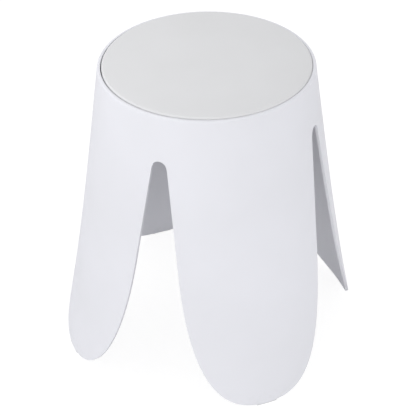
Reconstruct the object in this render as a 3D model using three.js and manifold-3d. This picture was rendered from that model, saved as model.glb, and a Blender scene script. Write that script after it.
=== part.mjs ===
/**
 * A shower stool: a one-piece shell with four petal legs, a round seat that lifts out of the
 * shell's rim, and a non-slip strip under each leg tip.
 *
 * Millimetres, +Z up. The origin is on the floor, on the stool's axis. The arched slots between
 * the legs face +X, +Y, -X and -Y, so the legs stand on the diagonals.
 */
import * as THREE from "three";
import { mergeVertices } from "three/addons/utils/BufferGeometryUtils.js";
import Module from "manifold-3d";

const wasm = await Module();
wasm.setup();

const DEGREE = Math.PI / 180;

// Shell wall: a flared cone that leans out a little more towards the floor.
const HEIGHT = 450;
const TOP_RADIUS = 152;
const FOOT_RADIUS = 225.4;
const TOP_LEAN = 7.9 * DEGREE;
const FOOT_LEAN = 12.15 * DEGREE;
const WALL = 4.5;
const LEGS = 4;
const SHELL_SIDES = 60;

// Slot between two legs: a round top, straight sides, then a long curve round to the leg's tip.
const SLOT_TOP = 385;
const SLOT_TOP_RADIUS = 11.2;
const SLOT_LEAN = 7.95 * DEGREE;
const STRAIGHT_END = 220;
const EDGE_PULL = 210;
const TIP_PULL = 49.3;
const TIP_HEIGHT = 1.4;

// Rim and the recess that the seat drops into.
const RIM_OUTER_ROUND = 3.2;
const RIM_INNER_ROUND = 0.6;
const RECESS_RADIUS = 147.4;
const LEDGE_TOP = 426.6;
const LEDGE_THICKNESS = 4;
const LEDGE_BORE = 118;
const GUSSETS = 12;
const GUSSET_THICKNESS = 2.6;
const GUSSET_DROP = 22;
const GUSSET_REACH = 20;

// Seat cover: a shallow dish turned upside down, its top crowned and standing a little
// proud of the rim.
const SEAT_RADIUS = 146.5;
const SEAT_TOP = HEIGHT + 3.6;
const SEAT_FLAT_RADIUS = 70;
const SEAT_CROWN = 1.2;
const SEAT_EDGE_ROUND = 3.6;
const COVER_SKIN = 3;
const SKIRT_THICKNESS = 2.6;
const SKIRT_BOTTOM = 436;

// Seat frame: a ribbed plate under the cover.
const FIT_GAP = 0.3;
const FRAME_RADIUS = SEAT_RADIUS - SKIRT_THICKNESS - FIT_GAP;
const FRAME_TOP = SEAT_TOP - SEAT_CROWN - COVER_SKIN - FIT_GAP;
const FRAME_PLATE = 2.6;
const FRAME_BOTTOM = 430;
const RIB_BOTTOM = 435;
const RIB_THICKNESS = 2.2;
const RING_RIBS = [46, 86];
const RADIAL_RIBS = 12;
const OUTER_RIB = 3;

// Screws that hold the cover to the frame, each in a cup of the frame.
const SCREWS = 8;
const SCREW_CIRCLE = 110;
const SCREW_RADIUS = 2;
const SCREW_HEAD_RADIUS = 4;
const SCREW_HEAD = 2.8;
const SCREW_REACH = 9;
const BOSS_RADIUS = 4.4;
const CUP_RADIUS = 7.2;
const CUP_FLOOR = 2.4;
const CUP_BOTTOM = 434;

// Soft bumpers under the frame, which rest on the shell's ledge.
const BUMPERS = 6;
const BUMPER_CIRCLE = 134;
const BUMPER_RADIUS = 6;
const BUMPER_STEM_RADIUS = 2;
const BUMPER_STEM = 5;
const BUMPER_BOSS_RADIUS = 7.5;

// Non-slip strips under the leg tips.
const STRIP_THICKNESS = 3.8;
const STRIP_HALF_LENGTH = 16;
const STRIP_STEM_RADIUS = 0.9;
const STRIP_STEM = 7;
const STRIP_STEM_OFFSETS = [-10, 0, 10];

/** Outer radius of the shell wall at a height, a cubic with a set lean at each end. */
function wallRadius(z) {
  const h = 1 - z / HEIGHT;
  const topSlope = HEIGHT * Math.tan(TOP_LEAN);
  const footSlope = HEIGHT * Math.tan(FOOT_LEAN);
  const fromTop = (2 * h ** 3 - 3 * h ** 2 + 1) * TOP_RADIUS + (h ** 3 - 2 * h ** 2 + h) * topSlope;
  const fromFoot = (3 * h ** 2 - 2 * h ** 3) * FOOT_RADIUS + (h ** 3 - h ** 2) * footSlope;
  return fromTop + fromFoot;
}

/** Closed mesh to solid: only the positions are kept, and shared corners are merged. */
function solid(geometry) {
  const bare = new THREE.BufferGeometry();
  bare.setAttribute("position", geometry.getAttribute("position"));
  bare.setIndex(geometry.getIndex());
  const merged = mergeVertices(bare, 1e-4);
  return new wasm.Manifold(
    new wasm.Mesh({
      numProp: 3,
      vertProperties: new Float32Array(merged.getAttribute("position").array),
      triVerts: new Uint32Array(merged.getIndex().array),
    }),
  );
}

/** Solid back to a geometry that a THREE.Mesh can hold. */
function geometryOf(body) {
  const result = body.getMesh();
  const geometry = new THREE.BufferGeometry();
  geometry.setAttribute("position", new THREE.BufferAttribute(result.vertProperties, 3));
  geometry.setIndex(new THREE.BufferAttribute(result.triVerts, 1));
  geometry.computeVertexNormals();
  return geometry;
}

/** Solid of revolution about +Z from a closed loop of [radius, z] points, counter-clockwise. */
function turned(loop, sides) {
  const points = loop.map(([radius, z]) => new THREE.Vector2(Math.max(radius, 0), z));
  const onAxis = points[0].x === 0;
  if (!onAxis) {
    points.push(points[0].clone());
  }
  const geometry = new THREE.LatheGeometry(points, sides);
  geometry.rotateX(Math.PI / 2);
  return solid(geometry);
}

/** Upright cylinder between two heights. */
function post(radius, bottom, top, x, y, sides = 14) {
  return turned([[0, bottom], [radius, bottom], [radius, top], [0, top]], sides).translate([x, y, 0]);
}

/** Upright tube between two heights, on the stool's axis. */
function ringWall(outer, inner, bottom, top, sides = SHELL_SIDES) {
  return turned([[inner, bottom], [outer, bottom], [outer, top], [inner, top]], sides);
}

/** Points on a quarter round from one angle to another, as [radius, z]. */
function arc(centreRadius, centreZ, radius, from, to, steps) {
  return Array.from({ length: steps + 1 }, (_, i) => {
    const angle = from + ((to - from) * i) / steps;
    return [centreRadius + radius * Math.cos(angle), centreZ + radius * Math.sin(angle)];
  });
}

/** Place on a circle round the axis. */
function onCircle(radius, index, count, start = 0) {
  const angle = start + (2 * Math.PI * index) / count;
  return { x: radius * Math.cos(angle), y: radius * Math.sin(angle), angle };
}

/**
 * One side of a slot, as [angle from the slot's centre, z], from its top to the leg's tip.
 * Widths are measured round the wall, so an angle is a width over the wall's radius.
 */
function slotSide() {
  const arcZ = SLOT_TOP - SLOT_TOP_RADIUS;
  const quarter = Math.PI / LEGS;
  const side = arc(0, arcZ, SLOT_TOP_RADIUS, Math.PI / 2, SLOT_LEAN, 6).map(([width, z]) => [
    width / wallRadius(z),
    z,
  ]);
  const [startAngle, startZ] = side[side.length - 1];
  const startWidth = startAngle * wallRadius(startZ);
  const widthAt = (z) => startWidth + (startZ - z) * Math.tan(SLOT_LEAN);
  const straightSteps = 5;
  for (let i = 1; i <= straightSteps; i += 1) {
    const z = startZ + ((STRAIGHT_END - startZ) * i) / straightSteps;
    side.push([widthAt(z) / wallRadius(z), z]);
  }
  // From the straight's end the curve is drawn as the leg's half width against height.
  const halfLeg = (z) => quarter * wallRadius(z) - widthAt(z);
  const drop = 1;
  const lean = (halfLeg(STRAIGHT_END) - halfLeg(STRAIGHT_END - drop)) / drop;
  const length = Math.hypot(lean, 1);
  const curve = new THREE.CubicBezierCurve(
    new THREE.Vector2(halfLeg(STRAIGHT_END), STRAIGHT_END),
    new THREE.Vector2(
      halfLeg(STRAIGHT_END) - (EDGE_PULL * lean) / length,
      STRAIGHT_END - EDGE_PULL / length + TIP_HEIGHT,
    ),
    new THREE.Vector2(TIP_PULL, TIP_HEIGHT),
    new THREE.Vector2(0, TIP_HEIGHT),
  );
  const curveSteps = 20;
  curve
    .getPoints(curveSteps)
    .slice(1)
    .forEach(({ x, y: z }) => side.push([quarter - x / wallRadius(z), z]));
  return side;
}

/**
 * Everything that one slot takes out of the wall: its outline, drawn out from the axis in
 * layers, two of them close to the wall's faces so that the cut edge there is smooth. It runs
 * on below the tips, a little past the middle of each leg.
 */
function slotCutter() {
  const side = slotSide();
  const pastMiddle = Math.PI / LEGS + 1.5 * DEGREE;
  const below = -12;
  const right = [...side, [pastMiddle, TIP_HEIGHT], [pastMiddle, below]];
  const left = right.slice(1).map(([angle, z]) => [-angle, z]);
  const outline = [...right, ...left.reverse()].map(([angle, z]) => new THREE.Vector2(angle, z));
  if (THREE.ShapeUtils.isClockWise(outline)) {
    outline.reverse();
  }
  const wallShares = [1.6, 1.01, 0.96, 0.6];
  const positions = wallShares.flatMap((share) =>
    outline.flatMap(({ x: angle, y: z }) => {
      const reach = share * wallRadius(z);
      return [reach * Math.cos(angle), reach * Math.sin(angle), z];
    }),
  );
  const count = outline.length;
  const faces = [];
  const last = count * (wallShares.length - 1);
  THREE.ShapeUtils.triangulateShape(outline, []).forEach(([a, b, c]) => {
    faces.push(a, b, c, last + c, last + b, last + a);
  });
  for (let layer = 0; layer < last; layer += count) {
    for (let i = 0; i < count; i += 1) {
      const here = layer + i;
      const next = layer + ((i + 1) % count);
      faces.push(here, here + count, next, next, here + count, next + count);
    }
  }
  const geometry = new THREE.BufferGeometry();
  geometry.setAttribute("position", new THREE.Float32BufferAttribute(positions, 3));
  geometry.setIndex(faces);
  return solid(geometry);
}

/** All four slots, turned round the axis. */
function slotCutters() {
  const cutter = slotCutter();
  return Array.from({ length: LEGS }, (_, i) => cutter.rotate([0, 0, (360 / LEGS) * i]));
}

/** The wall with its rim and ledge, before the slots are cut. */
function wallOfRevolution() {
  const wallSteps = 7;
  const ledgeBottom = LEDGE_TOP - LEDGE_THICKNESS;
  const roundZ = HEIGHT - RIM_OUTER_ROUND;
  const outer = Array.from({ length: wallSteps + 1 }, (_, i) => {
    const z = (roundZ * i) / wallSteps;
    return [wallRadius(z), z];
  });
  const rimOuter = arc(wallRadius(roundZ) - RIM_OUTER_ROUND, roundZ, RIM_OUTER_ROUND, 0, Math.PI / 2, 3);
  const rimInner = arc(
    RECESS_RADIUS + RIM_INNER_ROUND,
    HEIGHT - RIM_INNER_ROUND,
    RIM_INNER_ROUND,
    Math.PI / 2,
    Math.PI,
    2,
  );
  const inner = Array.from({ length: wallSteps + 1 }, (_, i) => {
    const z = ledgeBottom * (1 - i / wallSteps);
    return [wallRadius(z) - WALL, z];
  });
  return turned(
    [
      ...outer,
      ...rimOuter.slice(1),
      ...rimInner,
      [RECESS_RADIUS, LEDGE_TOP],
      [LEDGE_BORE, LEDGE_TOP],
      [LEDGE_BORE, ledgeBottom],
      ...inner,
    ],
    SHELL_SIDES,
  );
}

/** Triangular rib that braces the ledge against the wall, at one angle. */
function gusset(angle) {
  const top = LEDGE_TOP - LEDGE_THICKNESS + 1;
  const wallAt = (z) => wallRadius(z) - WALL / 2;
  const profile = new THREE.Shape([
    new THREE.Vector2(wallAt(top) - WALL / 2 - GUSSET_REACH, top),
    new THREE.Vector2(wallAt(top - GUSSET_DROP), top - GUSSET_DROP),
    new THREE.Vector2(wallAt(top), top),
  ]);
  const geometry = new THREE.ExtrudeGeometry(profile, { depth: GUSSET_THICKNESS, bevelEnabled: false });
  geometry.translate(0, 0, -GUSSET_THICKNESS / 2);
  geometry.rotateX(Math.PI / 2);
  return solid(geometry).rotate([0, 0, angle / DEGREE]);
}

/** Pin that stands in the wall's end at a leg tip and leans with the wall. */
function tipPin(radius, length, offset, legAngle, bottom) {
  const middle = wallRadius(0) - WALL / 2;
  const pin = post(radius, bottom, bottom + length, 0, 0, 8).rotate([0, -FOOT_LEAN / DEGREE, 0]);
  const turn = legAngle + offset / middle;
  return pin.translate([middle, 0, TIP_HEIGHT]).rotate([0, 0, turn / DEGREE]);
}

/** Angle of a leg's centre. */
function legAngle(index) {
  return Math.PI / LEGS + (2 * Math.PI * index) / LEGS;
}

/** The shell: wall, ledge and gussets, with the slots and the strips' pin holes cut. */
function makeShell(cutters) {
  let shell = wallOfRevolution();
  for (let i = 0; i < GUSSETS; i += 1) {
    shell = shell.add(gusset((2 * Math.PI * (i + 0.5)) / GUSSETS));
  }
  cutters.forEach((cutter) => {
    shell = shell.subtract(cutter);
  });
  for (let leg = 0; leg < LEGS; leg += 1) {
    STRIP_STEM_OFFSETS.forEach((offset) => {
      const hole = tipPin(STRIP_STEM_RADIUS + FIT_GAP, STRIP_STEM + FIT_GAP, offset, legAngle(leg), -1);
      shell = shell.subtract(hole);
    });
  }
  return shell;
}

/** Non-slip strip under one leg tip: flat below, curved above like the tip, with three pins. */
function makeFootStrip(cutters, index) {
  const outer = wallRadius(0) - (WALL - STRIP_THICKNESS) / 2;
  const inner = outer - STRIP_THICKNESS;
  const halfAngle = STRIP_HALF_LENGTH / outer;
  const outline = new THREE.Shape();
  outline.absarc(0, 0, outer, -halfAngle, halfAngle, false);
  outline.absarc(0, 0, inner, halfAngle, -halfAngle, true);
  const stripRise = 5;
  const geometry = new THREE.ExtrudeGeometry(outline, {
    depth: stripRise,
    bevelEnabled: false,
    curveSegments: 6,
  });
  const block = solid(geometry).rotate([0, 0, legAngle(index) / DEGREE]);
  const below = cutters[index].add(cutters[(index + 1) % LEGS]).translate([0, 0, -FIT_GAP]);
  let strip = block.intersect(below);
  STRIP_STEM_OFFSETS.forEach((offset) => {
    strip = strip.add(tipPin(STRIP_STEM_RADIUS, STRIP_STEM, offset, legAngle(index), -1));
  });
  return strip;
}

/** The seat cover: crowned skin, rounded edge, skirt, and a boss for each screw. */
function makeSeatCover() {
  const edgeTop = SEAT_TOP - SEAT_CROWN;
  const roundRadius = SEAT_RADIUS - SEAT_EDGE_ROUND;
  const underside = edgeTop - COVER_SKIN;
  const skirtInner = SEAT_RADIUS - SKIRT_THICKNESS;
  const crownSteps = 3;
  const crown = Array.from({ length: crownSteps }, (_, i) => {
    const share = (i + 1) / crownSteps;
    const radius = SEAT_FLAT_RADIUS + (roundRadius - SEAT_FLAT_RADIUS) * share;
    return [radius, SEAT_TOP - SEAT_CROWN * share ** 3];
  });
  const edge = arc(roundRadius, edgeTop - SEAT_EDGE_ROUND, SEAT_EDGE_ROUND, Math.PI / 2, 0, 3);
  const loop = [
    [0, SEAT_TOP],
    [SEAT_FLAT_RADIUS, SEAT_TOP],
    ...crown,
    ...edge.slice(1),
    [SEAT_RADIUS, SKIRT_BOTTOM],
    [skirtInner, SKIRT_BOTTOM],
    [skirtInner, underside],
    [0, underside],
  ];
  let cover = turned(loop.reverse(), SHELL_SIDES);
  const bossBottom = CUP_BOTTOM + CUP_FLOOR + FIT_GAP;
  for (let i = 0; i < SCREWS; i += 1) {
    const { x, y } = onCircle(SCREW_CIRCLE, i, SCREWS);
    cover = cover.add(post(BOSS_RADIUS, bossBottom, underside + 1, x, y));
    cover = cover.subtract(post(SCREW_RADIUS + FIT_GAP, bossBottom - 1, CUP_BOTTOM + SCREW_REACH + 1, x, y));
  }
  return cover;
}

/** The seat frame: plate, ring ribs and radial ribs, a cup for each screw, a boss for each bumper. */
function makeSeatFrame() {
  let frame = post(FRAME_RADIUS, FRAME_TOP - FRAME_PLATE, FRAME_TOP, 0, 0, SHELL_SIDES);
  const ribTop = FRAME_TOP - FRAME_PLATE / 2;
  frame = frame.add(ringWall(FRAME_RADIUS, FRAME_RADIUS - OUTER_RIB, FRAME_BOTTOM, ribTop));
  RING_RIBS.forEach((radius) => {
    frame = frame.add(ringWall(radius + RIB_THICKNESS, radius, RIB_BOTTOM, ribTop, 36));
  });
  for (let i = 0; i < RADIAL_RIBS; i += 1) {
    const length = FRAME_RADIUS - OUTER_RIB / 2 - RING_RIBS[0] - RIB_THICKNESS / 2;
    const rise = ribTop - RIB_BOTTOM;
    const rib = new THREE.BoxGeometry(length, RIB_THICKNESS, rise);
    rib.translate(RING_RIBS[0] + RIB_THICKNESS / 2 + length / 2, 0, ribTop - rise / 2);
    frame = frame.add(solid(rib).rotate([0, 0, (360 / RADIAL_RIBS) * (i + 0.5)]));
  }
  for (let i = 0; i < SCREWS; i += 1) {
    const { x, y } = onCircle(SCREW_CIRCLE, i, SCREWS);
    frame = frame.add(post(CUP_RADIUS, CUP_BOTTOM, ribTop, x, y));
    frame = frame.subtract(post(BOSS_RADIUS + FIT_GAP, CUP_BOTTOM + CUP_FLOOR, FRAME_TOP + 1, x, y));
    frame = frame.subtract(post(SCREW_RADIUS + FIT_GAP, CUP_BOTTOM - 1, CUP_BOTTOM + CUP_FLOOR + 1, x, y));
  }
  for (let i = 0; i < BUMPERS; i += 1) {
    const { x, y } = bumperPlace(i);
    frame = frame.add(post(BUMPER_BOSS_RADIUS, FRAME_BOTTOM, ribTop, x, y));
    const holeTop = FRAME_BOTTOM + BUMPER_STEM + FIT_GAP;
    frame = frame.subtract(post(BUMPER_STEM_RADIUS + FIT_GAP, FRAME_BOTTOM - 1, holeTop, x, y));
  }
  return frame;
}

/** Where a bumper stands, clear of the screws. */
function bumperPlace(index) {
  return onCircle(BUMPER_CIRCLE, index, BUMPERS, Math.PI / BUMPERS);
}

/** Pan-head screw, from below, its tip up in the cover's boss. */
function makeScrew(index) {
  const { x, y } = onCircle(SCREW_CIRCLE, index, SCREWS);
  const headTop = CUP_BOTTOM - FIT_GAP;
  const headBottom = headTop - SCREW_HEAD;
  const round = 1.2;
  const loop = [
    [0, headBottom],
    [SCREW_HEAD_RADIUS - round, headBottom],
    [SCREW_HEAD_RADIUS, headBottom + round],
    [SCREW_HEAD_RADIUS, headTop],
    [SCREW_RADIUS, headTop],
    [SCREW_RADIUS, headTop + SCREW_REACH - 1],
    [0, headTop + SCREW_REACH],
  ];
  return turned(loop, 12).translate([x, y, 0]);
}

/** Soft bumper: a disc that rests on the ledge, with a stem pushed up into the frame. */
function makeBumper(index) {
  const { x, y } = bumperPlace(index);
  const bottom = LEDGE_TOP + FIT_GAP;
  const top = FRAME_BOTTOM - FIT_GAP;
  const round = 0.8;
  const loop = [
    [0, bottom],
    [BUMPER_RADIUS - round, bottom],
    [BUMPER_RADIUS, bottom + round],
    [BUMPER_RADIUS, top],
    [BUMPER_STEM_RADIUS, top],
    [BUMPER_STEM_RADIUS, top + BUMPER_STEM],
    [0, top + BUMPER_STEM],
  ];
  return turned(loop, 14).translate([x, y, 0]);
}

/** Named mesh of one solid with its finish. */
function piece(name, body, material) {
  const mesh = new THREE.Mesh(geometryOf(body), material);
  mesh.name = name;
  return mesh;
}

const shellPlastic = new THREE.MeshStandardMaterial({ color: 0xe9e9ee, roughness: 0.5, metalness: 0 });
const seatPlastic = new THREE.MeshStandardMaterial({ color: 0xdbdadd, roughness: 0.62, metalness: 0 });
const framePlastic = new THREE.MeshStandardMaterial({ color: 0xd2d2d6, roughness: 0.55, metalness: 0 });
const softRubber = new THREE.MeshStandardMaterial({ color: 0xdcdce0, roughness: 0.8, metalness: 0 });
const stainlessSteel = new THREE.MeshStandardMaterial({ color: 0xb8babd, roughness: 0.35, metalness: 1 });

const cutters = slotCutters();

const stool = new THREE.Group();
stool.name = "shower_stool";
stool.add(piece("shell", makeShell(cutters), shellPlastic));
for (let i = 0; i < LEGS; i += 1) {
  stool.add(piece(`foot_strip_${i + 1}`, makeFootStrip(cutters, i), softRubber));
}

const seat = new THREE.Group();
seat.name = "seat";
seat.add(piece("seat_cover", makeSeatCover(), seatPlastic));
seat.add(piece("seat_frame", makeSeatFrame(), framePlastic));
for (let i = 0; i < SCREWS; i += 1) {
  seat.add(piece(`seat_screw_${i + 1}`, makeScrew(i), stainlessSteel));
}
for (let i = 0; i < BUMPERS; i += 1) {
  seat.add(piece(`seat_bumper_${i + 1}`, makeBumper(i), softRubber));
}
stool.add(seat);

export default stool;
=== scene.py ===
"""Looks of a shower stool: a flared shell with four petal legs and a seat that lifts out.

Each sub-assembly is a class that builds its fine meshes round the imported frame, in metres with
+Z up, and dresses them in procedural finishes. The legs stand on the diagonals of X and Y.
"""

import logging
import math
from collections.abc import Callable, Iterable, Sequence
from dataclasses import dataclass
from enum import Enum

import bmesh
import bpy
from mathutils import Matrix, Vector


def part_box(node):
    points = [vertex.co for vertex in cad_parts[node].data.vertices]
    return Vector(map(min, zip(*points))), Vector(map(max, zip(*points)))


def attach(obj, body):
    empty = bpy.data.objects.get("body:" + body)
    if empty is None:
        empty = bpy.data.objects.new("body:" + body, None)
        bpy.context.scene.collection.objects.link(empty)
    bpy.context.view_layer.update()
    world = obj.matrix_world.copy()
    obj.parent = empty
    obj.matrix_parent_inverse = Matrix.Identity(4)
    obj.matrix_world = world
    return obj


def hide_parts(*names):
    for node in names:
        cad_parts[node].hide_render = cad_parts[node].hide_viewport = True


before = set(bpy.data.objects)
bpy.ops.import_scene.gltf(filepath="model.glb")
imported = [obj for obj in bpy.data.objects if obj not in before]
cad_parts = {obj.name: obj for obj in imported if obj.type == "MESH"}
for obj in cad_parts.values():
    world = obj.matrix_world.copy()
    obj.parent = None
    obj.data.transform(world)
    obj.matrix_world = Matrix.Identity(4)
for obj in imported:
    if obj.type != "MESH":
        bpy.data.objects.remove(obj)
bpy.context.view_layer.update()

MM = 0.001
QUARTER_TURN = math.pi / 2
WELD = 0.002 * MM
# How far the loose seat has settled off the shell's axis, within its play in the recess.
SEAT_SHIFT = Vector((0.35, 0.28, 0.0)) * MM
SHARP_ANGLE = math.radians(40)

Colour = tuple[float, float, float, float]
Flat = tuple[float, float]
Corner = tuple[float, float, float]
Socket = bpy.types.NodeSocket
Piece = bpy.types.Object
Finish = bpy.types.Material
log = logging.getLogger("shower_stool")


class Body(Enum):
    """The rigid bodies that a piece can ride on."""

    STOOL = "stool"
    SEAT = "seat"


class Slot(Enum):
    """The record's material slots."""

    SHELL = "shell_plastic"
    SEAT = "seat_plastic"
    FRAME = "frame_plastic"
    RUBBER = "soft_rubber"
    STEEL = "stainless_steel"


# ---------------------------------------------------------------------------------------------
# Finishes
# ---------------------------------------------------------------------------------------------


class Shading:
    """A material's node tree, with short ways to add nodes and join them."""

    def __init__(self, name: str) -> None:
        """Start a material that holds one Principled shader."""
        self.material = bpy.data.materials.new(name)
        self.material.use_nodes = True
        self.tree = self.material.node_tree
        self.shader = self.tree.nodes["Principled BSDF"]
        self.place = self.tree.nodes.new("ShaderNodeTexCoord").outputs["Object"]

    def set(self, **values: float | Colour) -> None:
        """Set the shader's own sockets; an underscore in a name stands for a space."""
        for name, value in values.items():
            self.shader.inputs[name.replace("_", " ")].default_value = value

    def join(self, source: Socket, target: Socket) -> None:
        """Link one socket to another."""
        self.tree.links.new(source, target)

    def stretched(self, scale: tuple[float, float, float]) -> Socket:
        """Give the object coordinates, scaled by axis.

        Args:
            scale: how many times denser a pattern gets along X, Y and Z.

        Returns:
            The scaled coordinates.
        """
        mapping = self.tree.nodes.new("ShaderNodeMapping")
        mapping.inputs["Scale"].default_value = scale
        self.join(self.place, mapping.inputs["Vector"])
        return mapping.outputs["Vector"]

    def noise(
        self, scale: float, detail: float = 2.0, place: Socket | None = None
    ) -> Socket:
        """Add a noise pattern.

        Args:
            scale: blotches per metre.
            detail: octaves of finer blotches.
            place: coordinates to read, or None for the plain object coordinates.

        Returns:
            The noise's value, about 0.5 on average.
        """
        node = self.tree.nodes.new("ShaderNodeTexNoise")
        node.inputs["Scale"].default_value = scale
        node.inputs["Detail"].default_value = detail
        self.join(place or self.place, node.inputs["Vector"])
        return node.outputs["Fac"]

    def cells(self, scale: float) -> Socket:
        """Add a pattern of small rounded cells and give each point's distance to its cell."""
        node = self.tree.nodes.new("ShaderNodeTexVoronoi")
        node.feature = "SMOOTH_F1"
        node.inputs["Scale"].default_value = scale
        self.join(self.place, node.inputs["Vector"])
        return node.outputs["Distance"]

    def ranged(
        self, value: Socket, source: Flat, target: Flat
    ) -> Socket:
        """Carry a value from one range to another.

        Args:
            value: what to carry over.
            source: the range it comes in.
            target: the range it leaves in.

        Returns:
            The value in its new range, held at the ends.
        """
        node = self.tree.nodes.new("ShaderNodeMapRange")
        node.inputs["From Min"].default_value, node.inputs["From Max"].default_value = source
        node.inputs["To Min"].default_value, node.inputs["To Max"].default_value = target
        self.join(value, node.inputs["Value"])
        return node.outputs["Result"]

    def combined(self, operation: str, one: Socket, other: Socket) -> Socket:
        """Combine two values with a Math node's operation, such as ADD or MULTIPLY."""
        node = self.tree.nodes.new("ShaderNodeMath")
        node.operation = operation
        self.join(one, node.inputs[0])
        self.join(other, node.inputs[1])
        return node.outputs[0]

    def feed(self, name: str, source: Socket) -> None:
        """Link a value or a colour to one of the shader's own sockets."""
        self.join(source, self.shader.inputs[name])

    def blend(
        self, share: Socket, first: Colour | Socket, second: Colour
    ) -> Socket:
        """Blend two colours.

        Args:
            share: how much of the second colour shows.
            first: the colour at share 0, or a socket that gives it.
            second: the colour at share 1.

        Returns:
            The blended colour.
        """
        node = self.tree.nodes.new("ShaderNodeMix")
        node.data_type = "RGBA"
        self.join(share, node.inputs["Factor"])
        colours = [socket for socket in node.inputs if socket.type == "RGBA"]
        if isinstance(first, Socket):
            self.join(first, colours[0])
        else:
            colours[0].default_value = first
        colours[1].default_value = second
        return next(socket for socket in node.outputs if socket.type == "RGBA")

    def height(self) -> Socket:
        """Give each point's height above the floor."""
        node = self.tree.nodes.new("ShaderNodeSeparateXYZ")
        self.join(self.place, node.inputs["Vector"])
        return node.outputs["Z"]

    def bumps(self, relief: Iterable[tuple[Socket, float, float]]) -> None:
        """Raise the surface by several patterns, one on top of the other.

        Args:
            relief: (pattern, strength, depth in metres) of each, coarsest first.
        """
        normal = None
        for pattern, strength, depth in relief:
            node = self.tree.nodes.new("ShaderNodeBump")
            node.inputs["Strength"].default_value = strength
            node.inputs["Distance"].default_value = depth
            self.join(pattern, node.inputs["Height"])
            if normal is not None:
                self.join(normal, node.inputs["Normal"])
            normal = node.outputs["Normal"]
        if normal is not None:
            self.join(normal, self.shader.inputs["Normal"])


def grey(value: float, blue: float = 0.0) -> Colour:
    """Give a neutral colour, leaning to blue by a small amount."""
    return (value, value, value + blue, 1.0)


@dataclass(frozen=True)
class ShellPlastic:
    """Satin white moulded plastic with a very fine spark-eroded grain."""

    colour: Colour = grey(0.745, 0.04)
    cloudy: Colour = grey(0.725, 0.036)
    scuffed: Colour = grey(0.66, 0.012)
    roughness: Flat = (0.40, 0.50)
    grain_per_metre: float = 2300.0
    grain_depth: float = 0.03 * MM
    scuff_height: float = 26 * MM

    def build(self) -> Finish:
        """Build the material."""
        made = Shading("shell_plastic")
        clouds = made.ranged(made.noise(7.0, 3.0), (0.35, 0.65), (0.0, 1.0))
        near_floor = made.ranged(made.height(), (0.0, self.scuff_height), (1.0, 0.0))
        rubs = made.ranged(made.noise(160.0, 4.0), (0.52, 0.72), (0.0, 0.55))
        scuffs = made.combined("MULTIPLY", near_floor, rubs)
        base = made.blend(clouds, self.colour, self.cloudy)
        made.feed("Base Color", made.blend(scuffs, base, self.scuffed))
        haze = made.ranged(made.noise(45.0, 3.0), (0.3, 0.7), self.roughness)
        scratches = made.combined("MULTIPLY", scuffs, made.noise(90.0))
        made.feed("Roughness", made.combined("ADD", haze, scratches))
        sink = made.noise(16.0, 1.0)
        grain = made.noise(self.grain_per_metre, 3.0)
        made.bumps([(sink, 0.25, 0.25 * MM), (grain, 0.35, self.grain_depth)])
        made.set(Specular_IOR_Level=0.42, IOR=1.49)
        return made.material


@dataclass(frozen=True)
class SeatPlastic:
    """Matte pale grey soft-touch plastic with a fine pebbled, non-slip texture."""

    colour: Colour = grey(0.688, 0.008)
    worn: Colour = grey(0.673, 0.006)
    roughness: Flat = (0.56, 0.68)
    pebbles_per_metre: float = 1050.0
    pebble_depth: float = 0.05 * MM

    def build(self) -> Finish:
        """Build the material."""
        made = Shading("seat_plastic")
        wear = made.ranged(made.noise(9.0, 4.0), (0.38, 0.66), (0.0, 1.0))
        made.feed("Base Color", made.blend(wear, self.colour, self.worn))
        made.feed("Roughness", made.ranged(made.noise(30.0, 3.0), (0.3, 0.7), self.roughness))
        pebbles = made.cells(self.pebbles_per_metre)
        fine = made.noise(3200.0, 2.0)
        made.bumps([(pebbles, 0.45, self.pebble_depth), (fine, 0.25, 0.02 * MM)])
        made.set(Specular_IOR_Level=0.35, IOR=1.49)
        return made.material


@dataclass(frozen=True)
class FramePlastic:
    """Plain moulded plastic of the seat's hidden frame, with faint flow marks."""

    colour: Colour = grey(0.62, 0.012)
    flow: Colour = grey(0.58, 0.01)
    roughness: Flat = (0.38, 0.52)

    def build(self) -> Finish:
        """Build the material."""
        made = Shading("frame_plastic")
        marks = made.noise(26.0, 5.0, made.stretched((1.0, 0.25, 1.0)))
        share = made.ranged(marks, (0.4, 0.65), (0.0, 1.0))
        made.feed("Base Color", made.blend(share, self.colour, self.flow))
        made.feed("Roughness", made.ranged(marks, (0.3, 0.7), self.roughness))
        made.bumps([(made.noise(1500.0, 2.0), 0.3, 0.03 * MM)])
        made.set(Specular_IOR_Level=0.45)
        return made.material


@dataclass(frozen=True)
class SoftRubber:
    """Off-white soft elastomer, slightly dusty."""

    colour: Colour = grey(0.66, 0.01)
    dusty: Colour = grey(0.56, 0.0)
    roughness: Flat = (0.7, 0.86)

    def build(self) -> Finish:
        """Build the material."""
        made = Shading("soft_rubber")
        dust = made.ranged(made.noise(420.0, 4.0), (0.45, 0.7), (0.0, 0.7))
        made.feed("Base Color", made.blend(dust, self.colour, self.dusty))
        made.feed("Roughness", made.ranged(made.noise(300.0, 2.0), (0.3, 0.7), self.roughness))
        made.bumps([(made.noise(2600.0, 2.0), 0.4, 0.04 * MM)])
        made.set(Specular_IOR_Level=0.3)
        return made.material


@dataclass(frozen=True)
class StainlessSteel:
    """Stainless steel of the screws, turned and lightly brushed."""

    colour: Colour = (0.56, 0.57, 0.58, 1.0)
    dull: Colour = (0.44, 0.45, 0.46, 1.0)
    roughness: Flat = (0.24, 0.4)

    def build(self) -> Finish:
        """Build the material."""
        made = Shading("stainless_steel")
        lines = made.noise(900.0, 3.0, made.stretched((0.12, 1.0, 1.0)))
        share = made.ranged(lines, (0.4, 0.62), (0.0, 1.0))
        made.feed("Base Color", made.blend(share, self.colour, self.dull))
        made.feed("Roughness", made.ranged(lines, (0.3, 0.7), self.roughness))
        made.bumps([(lines, 0.3, 0.02 * MM)])
        made.set(Metallic=1.0)
        return made.material


# ---------------------------------------------------------------------------------------------
# Mesh code
# ---------------------------------------------------------------------------------------------


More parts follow.
